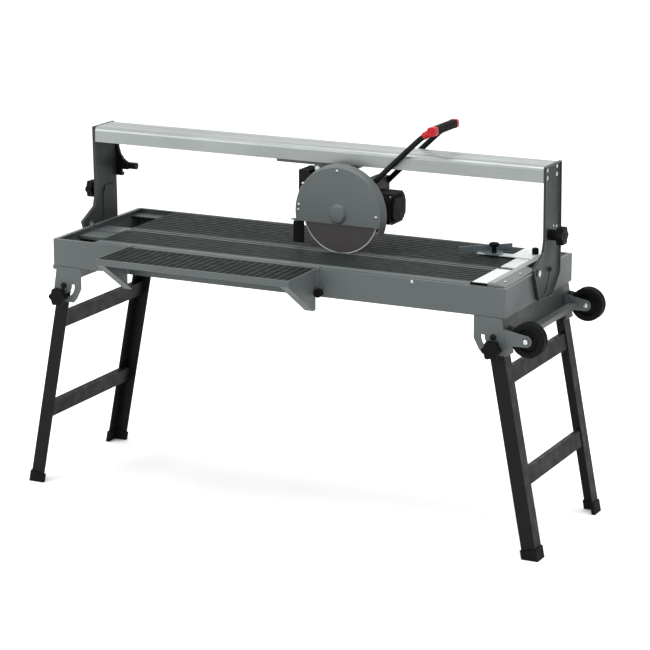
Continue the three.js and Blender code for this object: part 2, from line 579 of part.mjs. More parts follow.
function motorHousing() {
  const r = MOTOR_R, w = MOTOR_WALL, y0 = PLATE_Y + GAP, y1 = MOTOR_REAR;
  let s = turned('y', [[14, y0], [r - 3, y0], [r, y0 + 4], [r, y1 - 12], [r - 8, y1], [12, y1],
    [12, y1 - w], [r - w - 6, y1 - w], [r - w, y1 - 14], [r - w, y0 + w], [14, y0 + w]],
    HEAD_X, AXIS_Z, 36);
  for (let i = 0; i < 6; i++) {
    const a = i * Math.PI / 3;
    s = cut(s, rod('y', HEAD_X + 30 * Math.cos(a), AXIS_Z + 30 * Math.sin(a), 8, y1 - w - 1, y1 + 1, 10));
  }
  return s;
}

function guardShell() {
  const a = GUARD_FRONT_Y + GUARD_WALL + GAP, b = GUARD_REAR_Y, w = GUARD_WALL;
  const ring = turned('y', [[GUARD_R - w, a], [GUARD_R, a], [GUARD_R + 4, a + 7], [GUARD_REAR_R, b - 3],
    [GUARD_REAR_R - 1.5, b], [32, b], [32, b - w], [GUARD_REAR_R - w - 1, b - w], [GUARD_R + 4 - w, a + 8],
    [GUARD_R - w, a + 1.5]], HEAD_X, AXIS_Z - 1, 64);
  const z = AXIS_Z, x0 = HEAD_X - GUARD_R - 19, x1 = HEAD_X - GUARD_R - 1;
  const below = prism('y', [[HEAD_X - 180, z - 215], [HEAD_X + 180, z - 215],
    [HEAD_X + 180, z - 55.5], [HEAD_X - 180, z - 32.5]], a - 5, b + 5);
  const lip = join(box(x0, x1, -52, -32, z - 33, z - 30.5),
    box(FLAP_X0, x1, -52, -32, FLAP_TOP + GAP, z - 32.5));
  const boss = (x, z) => rod('y', x, z, 6, b - 1, PLATE_Y - PLATE - 0.3, 12);
  return join(cut(ring, below), lip, boss(HEAD_X - 70, AXIS_Z + 50), boss(HEAD_X + 70, AXIS_Z + 50),
    boss(HEAD_X, AXIS_Z + 92));
}

function guardCover() {
  const a = GUARD_FRONT_Y, b = GUARD_FRONT_Y + GUARD_WALL, r = GUARD_R;
  const disc = turned('y', [[20, a], [r - 1.5, a], [r, a + 1.2], [r, b], [20, b]], HEAD_X, AXIS_Z - 1, 64);
  const dome = turned('y', [[0, a - BOSS_DEEP], [21, a - BOSS_DEEP + 0.6], [26, a - BOSS_DEEP + 3.6],
    [29, a], [29, b], [26.5, b], [23.4, a - BOSS_DEEP + 5.4], [20, a - BOSS_DEEP + 3.2],
    [0, a - BOSS_DEEP + 2.6]], 0, 0, 40).scale([0.95, 1, 1.07]).translate([HEAD_X + 1, 0, AXIS_Z]);
  const hollow = rod('y', 0, 0, 26.5, a - 1, b + 1, 40).scale([0.95, 1, 1.07])
    .translate([HEAD_X + 1, 0, AXIS_Z]);
  return cut(join(cut(disc, hollow), dome),
    box(HEAD_X - 180, HEAD_X + 180, a - 30, b + 5, AXIS_Z - 215, AXIS_Z - 31.5));
}

function rotorShaft() {
  const y = SLOT_Y, h = BLADE_THICK / 2;
  return turned('y', [[0, y - 16], [8, y - 16], [8, y - h - 0.2], [12.3, y - h - 0.2], [12.3, y + h + 0.2],
    [FLANGE_R, y + h + 0.2], [FLANGE_R, y + h + 5], [9, y + h + 5], [9, 10], [28, 10], [28, 70], [8, 70],
    [8, 76], [42, 76], [42, 84], [8, 84], [8, 98], [0, 98]], HEAD_X, AXIS_Z, 32);
}

function clampFlange() {
  const y = SLOT_Y - BLADE_THICK / 2 - 0.5;
  return cut(turned('y', [[8.3, y], [FLANGE_R, y], [FLANGE_R, y - 3], [FLANGE_R - 4, y - 5], [13, y - 5],
    [13, y - 12], [8.3, y - 12]], HEAD_X, AXIS_Z, 24));
}

const BAR_FRONT = POST_FRONT - 13;
const BAR_REAR = RAIL_REAR + 14;
const GRIP_X = 411;
const GRIP_Z = AXIS_Z + 264.5;

// the bars' last bend, in x and in height above the blade's axis
const BAR_BEND = [[372, 240.5], [390, 253.5], [408, 262.5]];
const tubeIn = (y, r, points, n, steps) => tube(points.map(([x, z]) => [x, y, AXIS_Z + z]), r, n,
  steps);
const handleBar = (y, r) => tubeIn(y, r, [[188, 63.5], [256, 130.5], [322, 193.5], ...BAR_BEND], 12, 12);
// the space that a bar's end takes in what it is pushed into
const barRoom = (y) => join(handleBar(y, BAR_R + 0.5),
  tubeIn(y, BAR_R + 0.5, [[400, 258.5], [408, 262.5], [410, 263.5]], 12, 3));

function handleFrame() {
  const beam = box(BEAM_X0, BEAM_X1, PLATE_Y + GAP, BAR_REAR + 6, BEAM_Z0, BEAM_Z1);
  return join(beam, handleBar(BAR_FRONT, BAR_R), handleBar(BAR_REAR, BAR_R));
}

// a square with well rounded corners, h from its middle to each side
const roundSquare = (u, v, h) => Array.from({ length: 24 }, (_, i) => {
  const c = Math.cos(i * Math.PI / 12), d = Math.sin(i * Math.PI / 12), k = (c ** 4 + d ** 4) ** -0.25;
  return [u + h * k * c, v + h * k * d];
});

function gripCapFront() {
  const y1 = BAR_FRONT + BAR_R - GAP, z = AXIS_Z;
  const sleeve = tubeIn(BAR_FRONT, BAR_R + 2.5, [[381, 247], ...BAR_BEND.slice(1)], 14, 6);
  const cap = prism('y', roundSquare(GRIP_X, GRIP_Z, GRIP_R + CAP_PROUD), BAR_FRONT - 15, y1);
  const behind = box(350, 440, y1, y1 + 20, z + 180, z + 300);
  return cut(join(cap, cut(sleeve, behind)), barRoom(BAR_FRONT));
}

function buildHead(bridge) {
  const carriage = body('carriage', [HEAD_X, RAIL_MID, RAIL_BOTTOM], bridge);
  put(carriage, 'carriage_frame', carriageFrame(), GREY);
  const cz = RAIL_BOTTOM + RAIL_WALL + ROLLER_R + 0.3;
  ROLLER_X.forEach((x, i) => {
    const g = body(`rollers_${i + 1}_turn`, [x, RAIL_MID, cz], carriage);
    put(g, `rail_rollers_${i ? 'right' : 'left'}`, wheelset(x, cz), STEEL);
  });
  const head = body('head', [PLUNGE_X, RAIL_MID, PLUNGE_Z], carriage);
  put(head, 'head_frame', headFrame(), BLACK);
  const pin = join(rod('y', PLUNGE_X, PLUNGE_Z, PIN_R, 4, 72, 16),
    rod('y', PLUNGE_X, PLUNGE_Z, 9, 2.6, 7.4, 12), rod('y', PLUNGE_X, PLUNGE_Z, 8, 66, 72, 6));
  put(head, 'plunge_pin', pin, STEEL);
  put(head, 'motor_housing', motorHousing(), BLACK);
  put(head, 'stator', turned('y', [[30, 12], [MOTOR_R - MOTOR_WALL - GAP, 12],
    [MOTOR_R - MOTOR_WALL - GAP, 68], [30, 68]], HEAD_X, AXIS_Z, 28), COPPER);
  put(head, 'guard_shell', guardShell(), GREY);
  put(head, 'guard_cover', guardCover(), GREY);
  const f0 = GUARD_FRONT_Y + 4, f1 = GUARD_REAR_Y - 2, ft = FLAP_TOP;
  put(head, 'splash_flap', prism('x', [[f0, ft - 62.4], [f1, ft - 70.4], [f1, ft], [f0, ft]], FLAP_X0,
    FLAP_X1), RUBBER);
  buildSwitchBox(head);
  put(head, 'handle_frame', handleFrame(), BLACK);
  const grip = prism('y', roundSquare(GRIP_X, GRIP_Z, GRIP_R), BAR_FRONT + BAR_R, BAR_REAR + 1);
  put(head, 'grip', cut(grip, barRoom(BAR_REAR)), RUBBER);
  put(head, 'grip_cap_front', gripCapFront(), RED);
  const end = prism('y', roundSquare(GRIP_X, GRIP_Z, GRIP_R + CAP_PROUD), BAR_REAR + 1 + GAP,
    BAR_REAR + BAR_R + 6);
  put(head, 'grip_cap_rear', cut(end, barRoom(BAR_REAR)), RED);
  const spin = body('spindle', [HEAD_X, SLOT_Y, AXIS_Z], head);
  put(spin, 'rotor_shaft', rotorShaft(), STEEL);
  put(spin, 'blade', cut(rod('y', HEAD_X, AXIS_Z, BLADE_R, SLOT_Y - BLADE_THICK / 2,
    SLOT_Y + BLADE_THICK / 2, 72), rod('y', HEAD_X, AXIS_Z, BORE_R, SLOT_Y - 5, SLOT_Y + 5, 24)), DISC);
  put(spin, 'clamp_flange', clampFlange(), STEEL);
}

function buildSwitchBox(head) {
  const y0 = PLATE_Y + GAP, y1 = BOX_REAR, w = SHEET;
  const zc = (BOX_Z0 + BOX_Z1) / 2, yc = (y0 + y1) / 2;
  // the box's outline with cut corners, drawn in by m
  const panel = (m, c) => {
    const u = (y1 - y0) / 2 - m, v = (BOX_Z1 - BOX_Z0) / 2 - m;
    return [[c - u, -v], [u - c, -v], [u, c - v], [u, v - c], [u - c, v], [c - u, v], [-u, v - c],
      [-u, c - v]].map(([du, dv]) => [yc + du, zc + dv]);
  };
  const shell = cut(prism('x', panel(0, BOX_CORNER), BOX_X0, BOX_X1),
    prism('x', panel(w, BOX_CORNER - 1.8), BOX_X0 + w, BOX_X1 + 1),
    box(224, 250, y1 - w - 1, y1 + 1, AXIS_Z - 1, AXIS_Z + 30));
  const gland = join(rod('x', 40, AXIS_Z - 10.5, 10, BOX_X0 - 16, BOX_X0 + 1, 12));
  put(head, 'switch_box', join(shell, gland), PLASTIC);
  const x = BOX_X1 + GAP;
  let lid = join(prism('x', panel(0, BOX_CORNER), x, x + 3.4), prism('x', panel(9, 15), x + 3, x + 7),
    prism('x', panel(13, 14), x + 6, x + 11.6));
  for (const sy of [-1, 1]) {
    for (const sz of [-1, 1]) {
      lid = join(lid, rod('x', yc + sy * ((y1 - y0) / 2 - 12), zc + sz * ((BOX_Z1 - BOX_Z0) / 2 - 12), 3,
        x + 3, x + 5, 8));
    }
  }
  put(head, 'switch_lid', lid, PLASTIC);
  const z = AXIS_Z + 14.5;
  const rocker = body('switch_rocker_turn', [237, y1, z], head);
  put(rocker, 'switch_rocker', prism('x', [[y1 - 1.6, z - 14], [y1 + 3.4, z - 14.4], [y1 + 2.6, z],
    [y1 + 5, z + 14.4], [y1 - 1.6, z + 14]], 224.6, 249.4), RED);
}

// ---- legs, knobs, wheels ------------------------------------------------------------------------
function legFrame() {
  // modelled upright about its pivot, then leaned outwards and trimmed at the floor
  const len = Math.hypot(LEG_PIVOT_Z, LEG_PIVOT_Z * Math.tan(LEG_SPLAY)) + 14;
  const h = LEG_WIDTH / 2, y0 = FACE - 2 + SHEET + 1.5, t = LEG_SHEET;
  const cap = join(rod('y', 0, 0, h, y0, y0 + t, 24), box(-h, h, y0, y0 + t, -len, 0));
  const side = box(h - t, h, y0, y0 + LEG_DEPTH, -len, -2);
  const bolt = join(rod('y', 0, 0, PIN_R, FACE - 6, y0 + 1, 14),
    rod('y', 0, 0, 9, FACE - 7, FACE - 2.4, 12));
  const foot = box(-h - 3.5, h + 3.5, y0 - 3.5, y0 + LEG_DEPTH + 3.5, -len, -len + 46);
  const heel = box(-h - 4.5, h - t - 3.5, y0 + t + 3.5, y0 + LEG_DEPTH + 4.5, -len - 1, -len + 47);
  const hole = rod('y', 0, -LEG_LOCK_R, STUD_R + 0.5, y0 - 1, y0 + t + 1, 14);
  const half = cut(join(cap, side, cut(foot, heel)), hole);
  const bars = [CROSS_TOP, CROSS_LOW].map((d) => box(h - t - CROSS_WIDTH, h - t + 1, y0 + t - 1,
    -y0 - t + 1, -d - CROSS_HEIGHT, -d));
  const upright = join(half, bolt, mirrorY(half), mirrorY(bolt), ...bars);
  const leaned = upright.rotate([0, -THREE.MathUtils.radToDeg(LEG_SPLAY), 0])
    .translate([LEG_PIVOT_X, 0, LEG_PIVOT_Z]);
  return cut(leaned, box(0, 1200, -SIDE - 100, SIDE + 100, -200, 0));
}

function buildLegs() {
  const kx = LEG_PIVOT_X + LEG_LOCK_R * Math.sin(LEG_SPLAY);
  const kz = LEG_PIVOT_Z - LEG_LOCK_R * Math.cos(LEG_SPLAY);
  for (const [side, k] of [['left', -1], ['right', 1]]) {
    const leg = body(`leg_${side}_fold`, [k * LEG_PIVOT_X, 0, LEG_PIVOT_Z]);
    put(leg, `leg_frame_${side}`, spot(legFrame(), k), BLACK);
    for (const [end, j] of [['front', -1], ['rear', 1]]) {
      const face = SIDE + 2 + GAP;
      const knob = starKnob(0, 0, face, 15, 14, 11.6).rotate([0, 0, -90]).translate([kx, 0, kz]);
      const g = body(`leg_knob_${end}_${side}_turn`, [k * kx, j * face, kz], leg);
      put(g, `leg_knob_${end}_${side}`, spot(j > 0 ? mirrorY(knob) : knob, k), PLASTIC);
    }
  }
}

function buildWheels() {
  const c = SIDE + 2 - SHEET - WHEEL_WIDTH / 2 - 4.5;
  for (const [end, j] of [['front', -1], ['rear', 1]]) {
    const w = WHEEL_WIDTH / 2, y = j * c;
    const wheel = turned('y', [[AXLE_R + 0.5, y - w - 3], [16, y - w - 3], [17, y - w + 6], [34, y - w + 6],
      [36, y - w + 1], [WHEEL_R - 5, y - w], [WHEEL_R, y - w + 6], [WHEEL_R, y + w - 6], [WHEEL_R - 5, y + w],
      [36, y + w - 1], [34, y + w - 6], [17, y + w - 6], [16, y + w + 3], [AXLE_R + 0.5, y + w + 3]],
      WHEEL_X, WHEEL_Z, 32);
    put(body(`wheel_${end}_spin`, [WHEEL_X, y, WHEEL_Z]), `wheel_${end}`, wheel, RUBBER);
  }
}

// ---- side table -----------------------------------------------------------------------------------
function buildSideTable() {
  const g = body('side_table', [(SIDE_X0 + SIDE_X1) / 2, FACE, TABLE_HEIGHT]);
  const t = TABLE_HEIGHT, y1 = FACE - 4.4, y0 = SIDE_FRONT, zb = t - GUSSET_DROP, zu = t - 19.5;
  const side = (x0, x1) => prism('x', [[y0, t], [y0, zu], [y1 - 18, zb], [y1, zb], [y1, t]], x0, x1);
  const flange = (x0, x1) => prism('x', [[y0, zu], [y1 - 18, zb], [y1 - 16, zb + 2.2], [y0 + 2, zu + 2.2]],
    x0, x1);
  const hook = (x0, x1) => join(
    box(x0, x1, FACE - 4.4, FACE - 1.3, t - 46, t + 3.6),
    box(x0, x1, FACE - 4.4, FACE + RIM_FLANGE + 4.4, t + 0.6, t + 3.6),
    box(x0, x1, FACE + RIM_FLANGE + 1.2, FACE + RIM_FLANGE + 4.4, t - 9, t + 3.6));
  const xa = SIDE_X0, xb = SIDE_X1;
  const frame = join(side(xa, xa + SHEET), side(xb - SHEET, xb),
    flange(xa + 1, xa + GUSSET_FLANGE), flange(xb - GUSSET_FLANGE, xb - 1),
    box(xa, xb, y0, y0 + SHEET, zu, t), box(xa, xb, y1 - SHEET, y1, t - 42, t - 4),
    box(xa, xb, y0, y1, t - 13, t - 10), hook(xa, xa + 16), hook(xb - 12, xb + 9),
    box(xa, xa + 16, y1 - 1, y1 + 1, t - 46, t - 10), box(xb - 12, xb, y1 - 1, y1 + 1, t - 46, t - 10),
    box(xb - 2, xb + 20, y1 - 3, y1, t - 82, t - 44));
  const hole = rod('y', xb + 14, t - 70, STUD_R + 0.5, y1 - 5, y1 + 2, 12);
  put(g, 'side_table_frame', cut(frame, hole), GREY);
  const px0 = xa + SHEET + GAP, px1 = xb - SHEET - GAP, py0 = y0 + SHEET + GAP, py1 = y1 - SHEET - GAP;
  const n = Math.floor((px1 - px0) / 24), base = t - RIB_HEIGHT;
  const top = [[px0, base]];
  for (let i = 0; i < n; i++) {
    const x = (px0 + px1) / 2 - n * 12 + i * 24;
    top.push([x + 3, base], [x + 5, t], [x + 19, t], [x + 21, base]);
  }
  top.push([px1, base], [px1, t - 10 + GAP], [px0, t - 10 + GAP]);
  put(g, 'side_table_top', prism('y', top.reverse(), py0, py1), RIBBED);
  const k = body('side_knob_turn', [xb + 14, y1, t - 70], g);
  const knob = join(rod('y', xb + 14, t - 70, 13, y1 - 19, y1 - 3 - GAP, 18),
    rod('y', xb + 14, t - 70, STUD_R, y1 - 4, FACE - 1, 10));
  put(k, 'side_knob', knob, PLASTIC);
}

// ---- angle guide --------------------------------------------------------------------------------------
function buildGuide() {
  const z = TABLE_HEIGHT + GAP + 3.6 + GAP, x1 = FENCE_X + FENCE_PLATE;
  const g = body('guide', [FENCE_X, GUIDE_Y, z]);
  const base = cut(join(
    box(GUIDE_X - 50, FENCE_X + 2, GUIDE_Y - 15, GUIDE_Y + 17, z, z + SHEET),
    box(FENCE_X - 22, x1 - RUN, GUIDE_Y - 15, GUIDE_Y + 110, z, z + SHEET)),
    rod('z', GUIDE_X, GUIDE_Y, STUD_R + 0.5, z - 1, z + 5, 14),
    rod('z', x1 - 16, GUIDE_Y + 46, STUD_R + 0.5, z - 1, z + 5, 14));
  put(g, 'guide_base', base, ALU);
  const z1 = z + SHEET + GAP;
  const turn = body('guide_blade_turn', [GUIDE_X, GUIDE_Y, z], g);
  const blade = cut(join(box(-100, 71, 30, 33, z1, z1 + GUIDE_TALL),
    rod('z', 0, 0, 28, z1, z1 + 2.4, 20), box(-28, 28, 0, 31, z1, z1 + 2.4)),
    rod('z', 0, 0, STUD_R + 0.5, z1 - 1, z1 + 4, 14));
  put(turn, 'guide_blade', blade.rotate([0, 0, GUIDE_ANGLE]).translate([GUIDE_X, GUIDE_Y, 0]), GUIDE_STEEL);
  const k = body('guide_knob_turn', [GUIDE_X, GUIDE_Y, z], g);
  const top = z1 + 2.4 + GAP;
  put(k, 'guide_knob', turned('z', [[0, z + 0.4], [STUD_R, z + 0.4], [STUD_R, top], [8, top], [7, top + 16],
    [15, top + 20], [16, top + 27], [12, top + 30], [0, top + 31]], GUIDE_X, GUIDE_Y, 20), PLASTIC);
  const c = body('guide_clamp_turn', [x1 - 16, GUIDE_Y + 46, z], g);
  const ct = z + SHEET + GAP;
  put(c, 'guide_clamp', turned('z', [[0, z + 0.3], [STUD_R, z + 0.3], [STUD_R, ct], [10, ct], [10, ct + 17],
    [8, ct + 19], [0, ct + 19]], x1 - 16, GUIDE_Y + 46, 20), PLASTIC);
}

buildBed();
buildBrackets();
const bridge = buildBridge();
buildHead(bridge);
buildLegs();
buildWheels();
buildSideTable();
buildGuide();

// origin at the bottom centre of the bounding box
const bounds = new THREE.Box3().setFromObject(saw);
saw.position.set(-(bounds.min.x + bounds.max.x) / 2, -(bounds.min.y + bounds.max.y) / 2, -bounds.min.z);
saw.updateMatrixWorld(true);

export default saw;
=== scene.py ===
import math
from collections import namedtuple

import bmesh
import bpy
from mathutils import Matrix, Vector


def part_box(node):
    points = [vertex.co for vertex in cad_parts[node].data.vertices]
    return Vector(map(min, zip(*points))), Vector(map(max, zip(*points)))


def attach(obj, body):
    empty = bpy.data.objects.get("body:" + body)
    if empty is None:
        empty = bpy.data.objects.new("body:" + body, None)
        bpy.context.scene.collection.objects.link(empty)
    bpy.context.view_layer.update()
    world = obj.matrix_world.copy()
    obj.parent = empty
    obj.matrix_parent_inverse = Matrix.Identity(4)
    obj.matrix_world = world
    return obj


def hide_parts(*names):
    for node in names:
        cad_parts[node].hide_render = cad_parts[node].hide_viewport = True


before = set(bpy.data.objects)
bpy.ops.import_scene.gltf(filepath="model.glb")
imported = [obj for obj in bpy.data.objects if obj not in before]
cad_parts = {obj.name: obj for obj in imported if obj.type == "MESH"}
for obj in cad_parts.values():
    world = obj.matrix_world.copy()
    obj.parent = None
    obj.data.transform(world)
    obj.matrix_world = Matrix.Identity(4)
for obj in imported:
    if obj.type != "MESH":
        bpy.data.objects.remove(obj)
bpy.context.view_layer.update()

# ---- Workshop floor, light and camera --------------------------------------------------
# A pale, even floor that runs back out of sight, a large soft light above the saw, a
# weaker one in front on the left, and a long lens that stands well back to the right.


def corners(node):
    """The low and the high corner of a sub-part's box."""
    low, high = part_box(node)
    return Vector(low), Vector(high)


bed_low, bed_high = corners("bed_frame")
bed_mid = (bed_low + bed_high) / 2


def from_bed(x, y, z):
    """A place given in millimetres from the middle of the bed, with z from the floor."""
    return Vector((bed_mid.x + x / 1000, bed_mid.y + y / 1000, z / 1000))


Surface = namedtuple("Surface", "nodes links where shader")


def noise(surface, scale, detail=4, stretch=(1, 1, 1)):
    """A noise value over the object's own space, stretched along an axis for brushing."""
    mapping = surface.nodes.new("ShaderNodeMapping")
    mapping.inputs["Scale"].default_value = stretch
    surface.links.new(surface.where, mapping.inputs["Vector"])
    texture = surface.nodes.new("ShaderNodeTexNoise")
    texture.inputs["Scale"].default_value = scale
    texture.inputs["Detail"].default_value = detail
    surface.links.new(mapping.outputs["Vector"], texture.inputs["Vector"])
    return texture.outputs["Fac"]


def ramp(surface, value, low, high, from_low=0.35, from_high=0.65):
    """The value carried from one range of numbers to another."""
    node = surface.nodes.new("ShaderNodeMapRange")
    limits = {"From Min": from_low, "From Max": from_high, "To Min": low, "To Max": high}
    for socket_name, number in limits.items():
        node.inputs[socket_name].default_value = number
    surface.links.new(value, node.inputs["Value"])
    return node.outputs["Result"]


def blend_colours(surface, factor, first, second):
    """Two colours, or a colour already worked out and a second one, mixed by a factor."""
    node = surface.nodes.new("ShaderNodeMix")
    node.data_type = "RGBA"
    for socket, colour in ((node.inputs[6], first), (node.inputs[7], second)):
        if isinstance(colour, bpy.types.NodeSocket):
            surface.links.new(colour, socket)
        else:
            socket.default_value = (*colour, 1)
    surface.links.new(factor, node.inputs[0])
    return node.outputs[2]


def along_axis(surface, axis):
    """One coordinate of the place on the surface: "X", "Y" or "Z"."""
    node = surface.nodes.new("ShaderNodeSeparateXYZ")
    surface.links.new(surface.where, node.inputs[0])
    return node.outputs[axis]


def worked(surface, operation, value, number=0.0):
    """A value taken through one step of arithmetic with a number."""
    node = surface.nodes.new("ShaderNodeMath")
    node.operation = operation
    node.inputs[1].default_value = number
    surface.links.new(value, node.inputs[0])
    return node.outputs[0]


def shade(*rgb):
    """A paint-chart colour, 0 to 255, as the linear colour that a shader takes."""
    return tuple((c / 255 / 12.92) if c < 11 else ((c / 255 + 0.055) / 1.055) ** 2.4 for c in rgb)


def finish(name, build, **sockets):
    """A new material. build(surface) links what varies over the surface."""
    material = bpy.data.materials.new(name)
    material.use_nodes = True
    nodes = material.node_tree.nodes
    shader = nodes["Principled BSDF"]
    for key, value in sockets.items():
        shader.inputs[key.replace("_", " ")].default_value = value
    where = nodes.new("ShaderNodeTexCoord").outputs["Object"]
    build(Surface(nodes, material.node_tree.links, where, shader))
    return material


def coat(surface, colour, roughness):
    """Links a colour and a roughness to the shader."""
    surface.links.new(colour, surface.shader.inputs["Base Color"])
    surface.links.new(roughness, surface.shader.inputs["Roughness"])


def bump(surface, height, strength, distance):
    """A height value turned into fine relief on the surface."""
    node = surface.nodes.new("ShaderNodeBump")
    node.inputs["Strength"].default_value = strength
    node.inputs["Distance"].default_value = distance
    surface.links.new(height, node.inputs["Height"])
    surface.links.new(node.outputs["Normal"], surface.shader.inputs["Normal"])


def pale_floor(surface):
    """Near white, with the faintest clouds and grain."""
    cloud = noise(surface, 1.4, 3)
    colour = blend_colours(surface, cloud, shade(252, 252, 252), shade(255, 255, 255))
    surface.links.new(colour, surface.shader.inputs["Base Color"])
    bump(surface, noise(surface, 60), 0.02, 0.002)


floor_half = 30.0
floor_drop = 0.0005
floor_mesh = bmesh.new()
bmesh.ops.create_grid(floor_mesh, x_segments=8, y_segments=8, size=floor_half)
floor_data = bpy.data.meshes.new("floor")
floor_mesh.to_mesh(floor_data)
floor_mesh.free()
floor = bpy.data.objects.new("floor", floor_data)
floor.location.z = -floor_drop
bpy.context.scene.collection.objects.link(floor)
floor.data.materials.append(finish("pale_floor", pale_floor, Roughness=0.75))

world = bpy.data.worlds.new("soft_room")
world.use_nodes = True
background = world.node_tree.nodes["Background"]
background.inputs["Color"].default_value = (1, 1, 1, 1)
background.inputs["Strength"].default_value = 1.25
bpy.context.scene.world = world
bpy.context.scene.view_settings.view_transform = "Standard"


def aimed(place, aim):
    """The turn that points a lamp or a camera from a place at a point."""
    return (aim - place).to_track_quat("-Z", "Y").to_euler()


def softbox(name, place, size, watts, aim):
    """A square studio light that faces a point."""
    data = bpy.data.lights.new(name, "AREA")
    data.shape = "SQUARE"
    data.size = size
    data.energy = watts
    lamp = bpy.data.objects.new(name, data)
    lamp.location = place
    lamp.rotation_euler = aimed(place, aim)
    bpy.context.scene.collection.objects.link(lamp)


saw_middle = Vector((0, 0, 0.7))
softbox("overhead", Vector((0.2, -0.5, 4.2)), 3.4, 150, saw_middle)
softbox("front_left", Vector((-3.2, -4.2, 2.6)), 2.4, 80, saw_middle)

camera = bpy.data.objects.new("camera", bpy.data.cameras.new("camera"))
camera.location = from_bed(3386, -6754, 2493)
camera.rotation_euler = aimed(camera.location, from_bed(141.65, -181.09, 604.29))
camera.data.lens = 141.3
camera.data.clip_end = 100
bpy.context.scene.collection.objects.link(camera)
bpy.context.scene.camera = camera

# ---- Bed -------------------------------------------------------------------------------
# The bed is a deep tray of folded steel sheet, 3 mm thick, powder coated mid grey. Its
# rims, the tray inside and the beams under the plates are the same sheet and paint.


def powder_coat(colour, worn, shine=0.42):
    """Sprayed paint with a fine orange peel, slow drifts of tone and a little grime."""
    def build(surface):
        drift = ramp(surface, noise(surface, 2.2, 3), 0, 1)
        speck = ramp(surface, noise(surface, 260, 5), 0, 0.35, 0.56, 0.74)
        toned = blend_colours(surface, drift, [c * 0.93 for c in colour], [c * 1.05 for c in colour])
        grime = ramp(surface, noise(surface, 9, 6), shine - 0.06, shine + 0.12)
        coat(surface, blend_colours(surface, speck, toned, worn), grime)
        bump(surface, noise(surface, 520, 2), 0.12, 0.0004)
    return build


def rubbed_edge(colour, bare):
    """The same paint where a folded or cut edge is rubbed thin."""
    def build(surface):
        rub = ramp(surface, noise(surface, 34, 6), 0.0, 0.75, 0.45, 0.72)
        coat(surface, blend_colours(surface, rub, colour, bare),
             ramp(surface, noise(surface, 90), 0.34, 0.5))
        bump(surface, noise(surface, 420, 2), 0.1, 0.0004)
    return build


grey_paint = finish("grey_paint", powder_coat(shade(74, 79, 79), shade(66, 71, 71)), Specular_IOR_Level=0.2)
grey_edge = finish("grey_paint_edge", rubbed_edge(shade(86, 91, 91), shade(118, 123, 122)),
                   Specular_IOR_Level=0.3)


def kept_shape(name, node, body, materials, edge=0.0006, segments=2, sharp=30.0, faces=None):
    """A sub-part's own shape with its long triangles joined into whole faces and its sharp
    edges rounded. The rounding takes the second material, where the finish is rubbed, unless
    faces() picks the material of each face from the middle of the face."""
    weld = 0.00001
    nearly_flat = math.radians(0.6)
    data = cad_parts[node].data.copy()
    mesh = bmesh.new()
    mesh.from_mesh(data)
    bmesh.ops.remove_doubles(mesh, verts=mesh.verts, dist=weld)
    bmesh.ops.dissolve_limit(mesh, angle_limit=nearly_flat, verts=mesh.verts, edges=mesh.edges)
    bmesh.ops.recalc_face_normals(mesh, faces=mesh.faces)
    for face in mesh.faces:
        face.smooth = True
        face.material_index = faces(face.calc_center_median()) if faces else 0
    data.materials.clear()
    for material in materials:
        data.materials.append(material)
    mesh.to_mesh(data)
    mesh.free()
    piece = bpy.data.objects.new(name, data)
    bpy.context.scene.collection.objects.link(piece)
    rounding = piece.modifiers.new("rounding", "BEVEL")
    rounding.width = edge
    rounding.segments = segments
    rounding.limit_method = "ANGLE"
    rounding.angle_limit = math.radians(sharp)
    if len(materials) > 1 and faces is None:
        rounding.material = 1
    weighting = piece.modifiers.new("weighting", "WEIGHTED_NORMAL")
    weighting.weight = 80
    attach(piece, body)
    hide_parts(node)


for node in ("bed_frame", "water_tray", "slot_beam_front", "slot_beam_rear"):
    kept_shape(node + "_sheet", node, "bed", (grey_paint, grey_edge))

# ---- Table plates ----------------------------------------------------------------------
# Two grooved steel plates carry the tile, parted by the blade slot. They are dark grey, and
# flat strips beside the slot and along the front are in a lighter paint.
table_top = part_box("table_front")[1][2]
rib_height = 0.0016


def ribbed_plate(strips, low_tone, high_tone):
    """Dark ribs over grooves painted darker still, as painted shade, with flat strips in lighter
    paint: (middle, half) in y.
    """
    def build(surface):
        height = along_axis(surface, "Z")
        on_rib = ramp(surface, height, 0, 1, table_top - rib_height, table_top - 0.0002)
        # The grooves are painted near black: painted shade in the grooves between the ribs.
        groove = blend_colours(surface, noise(surface, 5), shade(10, 12, 12), shade(13, 15, 15))
        drift = blend_colours(surface, noise(surface, 3, 3), low_tone, high_tone)
        tone = blend_colours(surface, on_rib, groove, drift)
        for middle, half in strips:
            apart = worked(surface, "SUBTRACT", along_axis(surface, "Y"), middle)
            inside = ramp(surface, worked(surface, "ABSOLUTE", apart), 1, 0, half - 0.001, half)
            tone = blend_colours(surface, inside, tone, shade(80, 85, 85))
        coat(surface, tone, ramp(surface, noise(surface, 40), 0.5, 0.62))
        bump(surface, noise(surface, 300, 3), 0.08, 0.0003)
    return build


light_strips = [(bed_mid.y - 0.038, 0.0165), (bed_mid.y - 0.236, 0.024)]
plate_grey = finish("ribbed_plate", ribbed_plate(light_strips, shade(32, 37, 35), shade(38, 43, 41)),
                    Specular_IOR_Level=0.06)
for node in ("table_front", "table_rear"):
    kept_shape(node + "_plate", node, "bed", (plate_grey,), edge=0.0003, segments=1)

# ---- Ruler fence -----------------------------------------------------------------------
# Extruded aluminium across the right end: a flat strip, a thick bar and a sloping bar with
# lines cut every 5 mm. Two screws hold it, and a black cap closes its front end.


